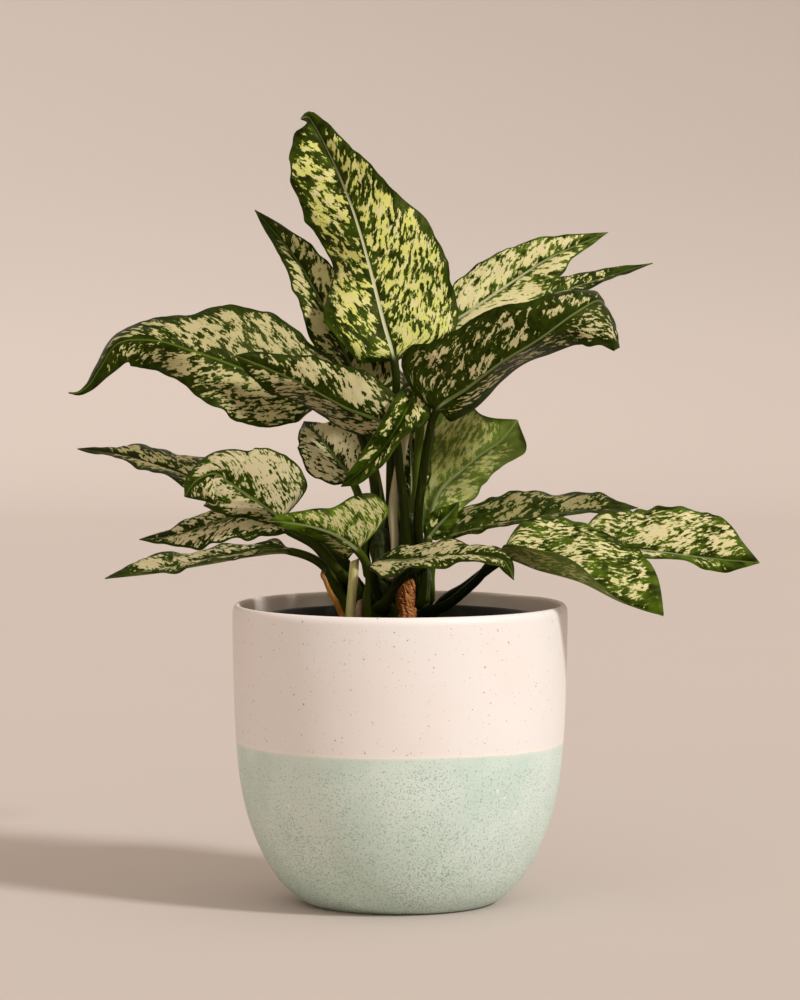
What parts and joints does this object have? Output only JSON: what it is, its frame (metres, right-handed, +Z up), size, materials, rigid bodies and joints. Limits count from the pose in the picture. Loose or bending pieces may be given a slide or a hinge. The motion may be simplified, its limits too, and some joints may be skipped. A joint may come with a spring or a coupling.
{
  "type": "potted aglaonema",
  "caption": "Leafy aglaonema with cream and green variegated, wavy leaves on short stems, in a black grow pot inside a two-tone glazed ceramic pot.",
  "frame": {"origin": "centre of the ceramic pot's flat foot, on the surface that it stands on", "axes": "+Z up, +X to the right of the side that faces the viewer, +Y away from the viewer"},
  "size_m": [0.3863, 0.2408, 0.4469],
  "materials": {
    "glazed_pot": "gloss",
    "grow_pot_plastic": "matte",
    "potting_soil": "matte",
    "green_stem": "satin",
    "leaf": "satin",
    "pale_stalk": "satin",
    "cut_stub": "matte",
    "dry_stalk": "matte",
    "dry_sheath": "matte"
  },
  "bodies": {
    "root": {"ceramic_pot": "glazed_pot", "grow_pot": "grow_pot_plastic", "soil": "potting_soil", "cane_left_front": "green_stem", "cane_right_front": "green_stem", "cane_back": "green_stem", "cane_left": "green_stem", "cane_right": "green_stem", "pale_stalk": "pale_stalk", "dry_stalk": "dry_stalk", "cut_stub": "cut_stub", "dry_sheath": "dry_sheath", "leaf_top": "leaf", "leaf_upper_left": "leaf", "leaf_left_large": "leaf", "leaf_cream_left": "leaf", "leaf_right_large": "leaf", "leaf_upper_right": "leaf", "leaf_right_slim": "leaf", "leaf_right_underside": "leaf", "leaf_centre_low": "leaf", "leaf_behind_left": "leaf", "leaf_centre_twist": "leaf", "leaf_left_high": "leaf", "leaf_left_cream": "leaf", "leaf_left_low": "leaf", "leaf_left_lowest": "leaf", "leaf_front_left": "leaf", "leaf_front_right": "leaf", "leaf_right_mid": "leaf", "leaf_right_far": "leaf", "leaf_right_low": "leaf", "leaf_back_centre": "leaf", "leaf_back_left": "leaf", "leaf_back_right": "leaf"}
  },
  "joints": []
}
